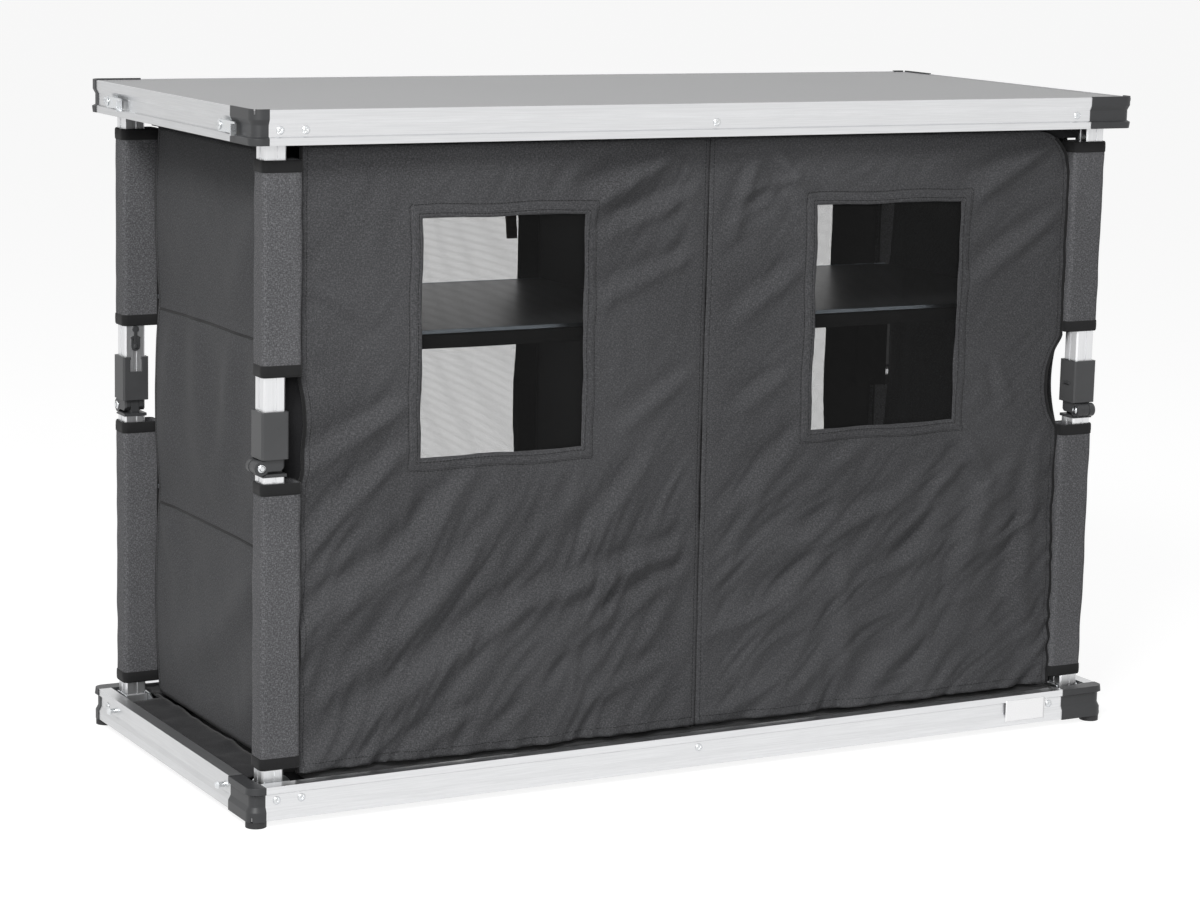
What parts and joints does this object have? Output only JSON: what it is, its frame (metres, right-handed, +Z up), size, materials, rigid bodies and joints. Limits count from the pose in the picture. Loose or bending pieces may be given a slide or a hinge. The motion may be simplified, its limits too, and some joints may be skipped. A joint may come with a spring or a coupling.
{
  "type": "camping cupboard",
  "caption": "Folding camping cupboard with a hard worktop on hinged aluminium legs, cloth sides, netted cloth doors and shelves.",
  "frame": {"origin": "on the ground under the middle of the case", "axes": "+Z up, +X to the right along the width, front with the doors towards -Y"},
  "size_m": [1.1948, 0.512, 0.8],
  "materials": {
    "aluminium_rail": "satin anodised",
    "aluminium_tube": "satin anodised",
    "grey_plastic": "fine moulded grain",
    "black_plastic": "moulded",
    "laminate": "grey speckled laminate on board",
    "shelf_board": "smooth grey coated board",
    "steel": "zinc plated",
    "grey_cloth": "woven polyester",
    "dark_cloth": "woven polyester"
  },
  "bodies": {
    "bottom_frame": {"bottom_rail_front": "aluminium_rail", "bottom_rail_right": "aluminium_rail", "bottom_rail_back": "aluminium_rail", "bottom_rail_left": "aluminium_rail", "bottom_corners": "grey_plastic", "feet": "grey_plastic", "base_board": "laminate", "bottom_brackets": "steel", "bottom_fasteners": "steel", "catch_pins": "steel", "side_cloth_left": "grey_cloth", "side_cloth_right": "grey_cloth", "back_cloth": "dark_cloth", "divider_cloth": "dark_cloth", "floor_tub": "dark_cloth"},
    "lower_leg_front_left": {"lower_tube_front_left": "aluminium_tube", "lower_knee_front_left": "black_plastic", "lower_sleeve_front_left": "grey_cloth"},
    "upper_leg_front_left": {"upper_tube_front_left": "aluminium_tube", "upper_knee_front_left": "black_plastic", "upper_sleeve_front_left": "grey_cloth"},
    "collar_front_left": {"collar_front_left": "black_plastic"},
    "lower_leg_front_right": {"lower_tube_front_right": "aluminium_tube", "lower_knee_front_right": "black_plastic", "lower_sleeve_front_right": "grey_cloth"},
    "upper_leg_front_right": {"upper_tube_front_right": "aluminium_tube", "upper_knee_front_right": "black_plastic", "upper_sleeve_front_right": "grey_cloth"},
    "collar_front_right": {"collar_front_right": "black_plastic"},
    "lower_leg_back_right": {"lower_tube_back_right": "aluminium_tube", "lower_knee_back_right": "black_plastic", "lower_sleeve_back_right": "grey_cloth"},
    "upper_leg_back_right": {"upper_tube_back_right": "aluminium_tube", "upper_knee_back_right": "black_plastic", "upper_sleeve_back_right": "grey_cloth"},
    "collar_back_right": {"collar_back_right": "black_plastic"},
    "lower_leg_back_left": {"lower_tube_back_left": "aluminium_tube", "lower_knee_back_left": "black_plastic", "lower_sleeve_back_left": "grey_cloth"},
    "upper_leg_back_left": {"upper_tube_back_left": "aluminium_tube", "upper_knee_back_left": "black_plastic", "upper_sleeve_back_left": "grey_cloth"},
    "collar_back_left": {"collar_back_left": "black_plastic"},
    "top_frame": {"top_rail_front": "aluminium_rail", "top_rail_right": "aluminium_rail", "top_rail_back": "aluminium_rail", "top_rail_left": "aluminium_rail", "top_corners": "grey_plastic", "worktop_board": "laminate", "top_brackets": "steel", "top_fasteners": "steel", "top_skirt": "dark_cloth"},
    "hook_left_near": {"hook_left_near": "steel"},
    "hook_left_far": {"hook_left_far": "steel"},
    "hook_right_near": {"hook_right_near": "steel"},
    "hook_right_far": {"hook_right_far": "steel"},
    "left_door": {"door_left": "grey_cloth"},
    "right_door": {"door_right": "grey_cloth"},
    "lower_shelves": {"lower_shelves": "shelf_board"},
    "upper_shelves": {"upper_shelves": "shelf_board"}
  },
  "joints": [
    {"name": "lower_leg_fl", "type": "hinge", "parent": "bottom_frame", "child": "lower_leg_front_left", "pos_m": [-0.552, -0.217, 0.03175], "axis": [0, 1, 0], "range_deg": [0, 90]},
    {"name": "lower_leg_fr", "type": "hinge", "parent": "bottom_frame", "child": "lower_leg_front_right", "pos_m": [0.552, -0.217, 0.03175], "axis": [-1, 0, 0], "range_deg": [0, 90]},
    {"name": "lower_leg_br", "type": "hinge", "parent": "bottom_frame", "child": "lower_leg_back_right", "pos_m": [0.552, 0.217, 0.03175], "axis": [0, -1, 0], "range_deg": [0, 90]},
    {"name": "lower_leg_bl", "type": "hinge", "parent": "bottom_frame", "child": "lower_leg_back_left", "pos_m": [-0.552, 0.217, 0.03175], "axis": [1, 0, 0], "range_deg": [0, 90]},
    {"name": "knee_fl", "type": "hinge", "parent": "lower_leg_front_left", "child": "upper_leg_front_left", "pos_m": [-0.567, -0.217, 0.4035], "axis": [0, 1, 0], "range_deg": [-180, 0]},
    {"name": "knee_fr", "type": "hinge", "parent": "lower_leg_front_right", "child": "upper_leg_front_right", "pos_m": [0.552, -0.232, 0.4035], "axis": [-1, 0, 0], "range_deg": [-180, 0]},
    {"name": "knee_br", "type": "hinge", "parent": "lower_leg_back_right", "child": "upper_leg_back_right", "pos_m": [0.567, 0.217, 0.4035], "axis": [0, -1, 0], "range_deg": [-180, 0]},
    {"name": "knee_bl", "type": "hinge", "parent": "lower_leg_back_left", "child": "upper_leg_back_left", "pos_m": [-0.552, 0.232, 0.4035], "axis": [1, 0, 0], "range_deg": [-180, 0]},
    {"name": "fold", "type": "hinge", "parent": "upper_leg_front_left", "child": "top_frame", "pos_m": [-0.552, -0.217, 0.77525], "axis": [0, 1, 0], "range_deg": [0, 90], "deforming": ["side_cloth_left", "side_cloth_right", "back_cloth", "divider_cloth", "top_skirt", "floor_tub", "door_left", "door_right", "lower_sleeve_front_left", "lower_sleeve_front_right", "lower_sleeve_back_right", "lower_sleeve_back_left", "upper_sleeve_front_left", "upper_sleeve_front_right", "upper_sleeve_back_right", "upper_sleeve_back_left"]},
    {"name": "collar_fl", "type": "slide", "parent": "upper_leg_front_left", "child": "collar_front_left", "axis": [0, 0, 1], "range_m": [0, 0.026]},
    {"name": "collar_fr", "type": "slide", "parent": "upper_leg_front_right", "child": "collar_front_right", "axis": [0, 0, 1], "range_m": [0, 0.026]},
    {"name": "collar_br", "type": "slide", "parent": "upper_leg_back_right", "child": "collar_back_right", "axis": [0, 0, 1], "range_m": [0, 0.026]},
    {"name": "collar_bl", "type": "slide", "parent": "upper_leg_back_left", "child": "collar_back_left", "axis": [0, 0, 1], "range_m": [0, 0.026]},
    {"name": "hook_left_near", "type": "hinge", "parent": "top_frame", "child": "hook_left_near", "pos_m": [-0.592, 0.187, 0.777], "axis": [1, 0, 0], "range_deg": [0, 90]},
    {"name": "hook_left_far", "type": "hinge", "parent": "top_frame", "child": "hook_left_far", "pos_m": [-0.592, -0.167, 0.777], "axis": [1, 0, 0], "range_deg": [0, 90]},
    {"name": "hook_right_near", "type": "hinge", "parent": "top_frame", "child": "hook_right_near", "pos_m": [0.592, -0.187, 0.777], "axis": [-1, 0, 0], "range_deg": [0, 90]},
    {"name": "hook_right_far", "type": "hinge", "parent": "top_frame", "child": "hook_right_far", "pos_m": [0.592, 0.167, 0.777], "axis": [-1, 0, 0], "range_deg": [0, 90]},
    {"name": "left_door", "type": "hinge", "parent": "bottom_frame", "child": "left_door", "pos_m": [-0.516, -0.229, 0.4], "axis": [0, 0, -1], "range_deg": [0, 100]},
    {"name": "right_door", "type": "hinge", "parent": "bottom_frame", "child": "right_door", "pos_m": [0.516, -0.229, 0.4], "axis": [0, 0, 1], "range_deg": [0, 100]},
    {"name": "lower_shelves", "type": "slide", "parent": "bottom_frame", "child": "lower_shelves", "axis": [0, 0, -1], "range_m": [0, 0.27]},
    {"name": "upper_shelves", "type": "slide", "parent": "bottom_frame", "child": "upper_shelves", "axis": [0, 0, -1], "range_m": [0, 0.49]}
  ],
  "couplings": [
    {"joint": "lower_leg_fl", "follows": "fold", "ratio": 1},
    {"joint": "lower_leg_fr", "follows": "fold", "ratio": 1},
    {"joint": "lower_leg_br", "follows": "fold", "ratio": 1},
    {"joint": "lower_leg_bl", "follows": "fold", "ratio": 1},
    {"joint": "knee_fl", "follows": "fold", "ratio": -2},
    {"joint": "knee_fr", "follows": "fold", "ratio": -2},
    {"joint": "knee_br", "follows": "fold", "ratio": -2},
    {"joint": "knee_bl", "follows": "fold", "ratio": -2},
    {"joint": "collar_fl", "follows": "fold", "m_per_rad": 0.0159},
    {"joint": "collar_fr", "follows": "fold", "m_per_rad": 0.0159},
    {"joint": "collar_br", "follows": "fold", "m_per_rad": 0.0159},
    {"joint": "collar_bl", "follows": "fold", "m_per_rad": 0.0159},
    {"joint": "lower_shelves", "follows": "fold", "m_per_rad": 0.169},
    {"joint": "upper_shelves", "follows": "fold", "m_per_rad": 0.307}
  ]
}
